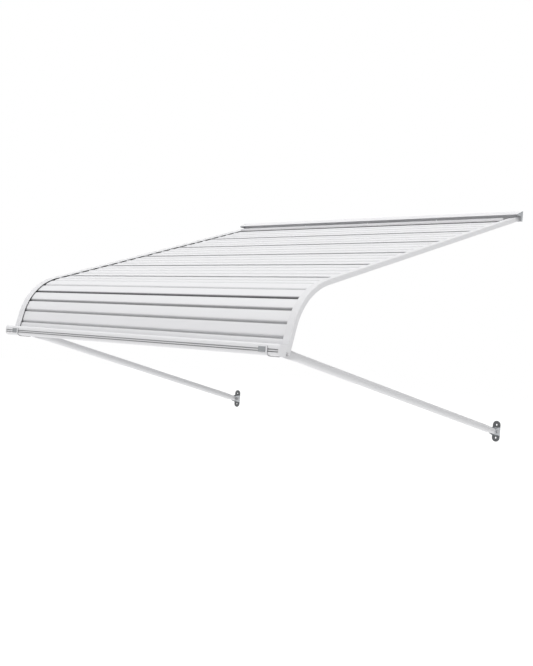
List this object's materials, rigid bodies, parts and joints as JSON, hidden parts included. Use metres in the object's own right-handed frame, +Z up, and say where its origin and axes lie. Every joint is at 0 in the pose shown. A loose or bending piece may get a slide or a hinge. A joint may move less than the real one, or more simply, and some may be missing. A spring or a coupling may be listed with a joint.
{
  "type": "door canopy",
  "caption": "Formed-sheet door canopy: ribbed roof falling from a wall header into a curved slatted front between swept side rails, with a front bar and two hinged tube arms.",
  "frame": {"origin": "middle of the wall header's back face, above its row of fixing holes", "axes": "+X along the wall towards the end the picture shows nearest, +Y into the wall, +Z up"},
  "size_m": [1.2384, 1.0599, 0.7306],
  "materials": {
    "white_enamel": "baked white enamel, satin",
    "grey_zinc": "dull grey zinc plate",
    "bolt_steel": "zinc-plated steel"
  },
  "bodies": {
    "canopy": {"wall_header": "white_enamel", "header_end_left": "grey_zinc", "header_end_right": "grey_zinc", "roof_pan_1": "white_enamel", "roof_pan_2": "white_enamel", "roof_pan_3": "white_enamel", "roof_pan_4": "white_enamel", "roof_pan_5": "white_enamel", "short_pan": "white_enamel", "front_slat_1": "white_enamel", "front_slat_2": "white_enamel", "front_slat_3": "white_enamel", "front_slat_4": "white_enamel", "front_slat_5": "white_enamel", "front_slat_6": "white_enamel", "side_rail_left": "white_enamel", "side_rail_right": "white_enamel", "front_bar": "white_enamel", "bar_cap_left": "white_enamel", "bar_cap_right": "white_enamel", "cap_screw_left": "bolt_steel", "cap_screw_right": "bolt_steel", "arm_clip_left": "white_enamel", "arm_clip_right": "white_enamel", "slot_plate_left": "grey_zinc", "slot_plate_right": "grey_zinc", "clip_bolt_left": "bolt_steel", "clip_bolt_right": "bolt_steel", "clip_nut_left": "bolt_steel", "clip_nut_right": "bolt_steel"},
    "left_arm": {"left_arm": "white_enamel"},
    "right_arm": {"right_arm": "white_enamel"},
    "left_bracket": {"left_wall_bracket": "grey_zinc", "left_bracket_bolt": "bolt_steel", "left_bracket_nut": "bolt_steel"},
    "right_bracket": {"right_wall_bracket": "grey_zinc", "right_bracket_bolt": "bolt_steel", "right_bracket_nut": "bolt_steel"}
  },
  "joints": [
    {"name": "left_arm_swing", "type": "hinge", "parent": "canopy", "child": "left_arm", "pos_m": [-0.54275, -0.99824, -0.49775], "axis": [1, 0, 0], "range_deg": [-75, 28]},
    {"name": "left_bracket_swing", "type": "hinge", "parent": "left_arm", "child": "left_bracket", "pos_m": [-0.587, -0.016, -0.6906], "axis": [1, 0, 0], "range_deg": [-45, 45]},
    {"name": "right_arm_swing", "type": "hinge", "parent": "canopy", "child": "right_arm", "pos_m": [0.56525, -0.99824, -0.49775], "axis": [1, 0, 0], "range_deg": [-75, 28]},
    {"name": "right_bracket_swing", "type": "hinge", "parent": "right_arm", "child": "right_bracket", "pos_m": [0.587, -0.016, -0.6906], "axis": [1, 0, 0], "range_deg": [-45, 45]}
  ]
}
